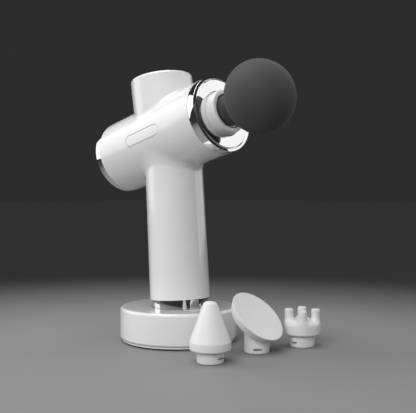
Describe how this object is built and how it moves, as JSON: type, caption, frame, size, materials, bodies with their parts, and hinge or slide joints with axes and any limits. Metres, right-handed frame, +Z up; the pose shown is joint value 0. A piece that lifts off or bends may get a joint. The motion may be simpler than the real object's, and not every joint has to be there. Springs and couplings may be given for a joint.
{
  "type": "massage gun",
  "caption": "Percussive massage gun with ball head, standing in a round charging dock, with bullet, slanted disc and claw heads beside it.",
  "frame": {"origin": "centre of the dock's foot pad, on the table", "axes": "+Z up; +X the way the massage ball points; +Y the gun's left side, away from the power key"},
  "size_m": [0.1848, 0.116, 0.2123],
  "materials": {
    "gloss_white": "gloss",
    "satin_white": "satin",
    "chrome": "mirror plated",
    "grey_foam": "matte moulded foam",
    "dark_plastic": "matte",
    "black_rubber": "matte",
    "dark_glass": "gloss",
    "steel": "machined",
    "aluminium": "machined",
    "bronze": "sintered",
    "winding": "enamelled wire",
    "circuit_board": "satin",
    "battery_cell": "satin sleeve"
  },
  "bodies": {
    "dock": {"dock_shell": "gloss_white", "dock_base_plate": "satin_white", "dock_foot_pad": "black_rubber", "dock_screw_1": "steel", "dock_screw_2": "steel", "dock_screw_3": "steel", "dock_weight": "steel", "dock_circuit_board": "circuit_board", "dock_charge_coil": "winding", "dock_charge_inlet": "steel"},
    "gun": {"left_housing": "gloss_white", "right_housing": "gloss_white", "handle_end_ring": "chrome", "handle_end_cap": "satin_white", "handle_charge_coil": "winding", "battery_carrier_lower": "dark_plastic", "battery_carrier_upper": "dark_plastic", "battery_cell_1": "battery_cell", "battery_cell_2": "battery_cell", "battery_cell_3": "battery_cell", "motor_driver_board": "circuit_board", "rear_ring": "chrome", "display_window": "dark_glass", "display_board": "circuit_board", "front_ring": "chrome", "front_plate": "chrome", "dust_seal": "satin_white", "motor_bracket": "aluminium", "bracket_screw_1": "steel", "bracket_screw_2": "steel", "bracket_screw_3": "steel", "bracket_screw_4": "steel", "shaft_bearing": "steel", "motor_stator": "winding", "plunger_bush": "bronze", "bush_carrier": "aluminium", "button_switch": "circuit_board"},
    "motor": {"motor_rotor": "steel", "crank_web": "steel"},
    "plunger": {"plunger": "aluminium", "wrist_pin": "steel", "socket_o_ring": "black_rubber"},
    "conrod": {"connecting_rod": "aluminium", "crank_bearing": "steel", "crank_pin": "steel"},
    "ball_head": {"massage_ball": "grey_foam", "ball_stem": "dark_plastic"},
    "power_key": {"side_button": "gloss_white"},
    "bullet_head": {"bullet_head": "satin_white"},
    "disc_head": {"disc_head": "satin_white"},
    "claw_head": {"claw_head": "satin_white"}
  },
  "joints": [
    {"name": "gun_lift", "type": "slide", "parent": "dock", "child": "gun", "axis": [-0.0668, 0, 0.9978], "range_m": [0, 0.08]},
    {"name": "motor_spin", "type": "hinge", "parent": "gun", "child": "motor", "pos_m": [-0.00945, 0, 0.16061], "axis": [-0.249, 0, 0.9685], "continuous": true},
    {"name": "plunger_stroke", "type": "slide", "parent": "gun", "child": "plunger", "axis": [0.9685, 0, 0.249], "range_m": [0, 0.01]},
    {"name": "conrod_swing", "type": "hinge", "parent": "plunger", "child": "conrod", "pos_m": [0.02057, 0, 0.16833], "axis": [-0.249, 0, 0.9685], "range_deg": [-7.98, 7.98]},
    {"name": "head_release", "type": "slide", "parent": "plunger", "child": "ball_head", "axis": [0.9685, 0, 0.249], "range_m": [0, 0.03]},
    {"name": "power_key_press", "type": "slide", "parent": "gun", "child": "power_key", "axis": [0, 1, 0], "range_m": [0, 0.0008], "stiffness_N_per_m": 800, "springref_m": -0.0008},
    {"name": "bullet_head_lift", "type": "slide", "parent": "dock", "child": "bullet_head", "axis": [0, 0, 1], "range_m": [0, 0.06]},
    {"name": "disc_head_lift", "type": "slide", "parent": "dock", "child": "disc_head", "axis": [0, 0, 1], "range_m": [0, 0.06]},
    {"name": "claw_head_lift", "type": "slide", "parent": "dock", "child": "claw_head", "axis": [0, 0, 1], "range_m": [0, 0.06]}
  ]
}
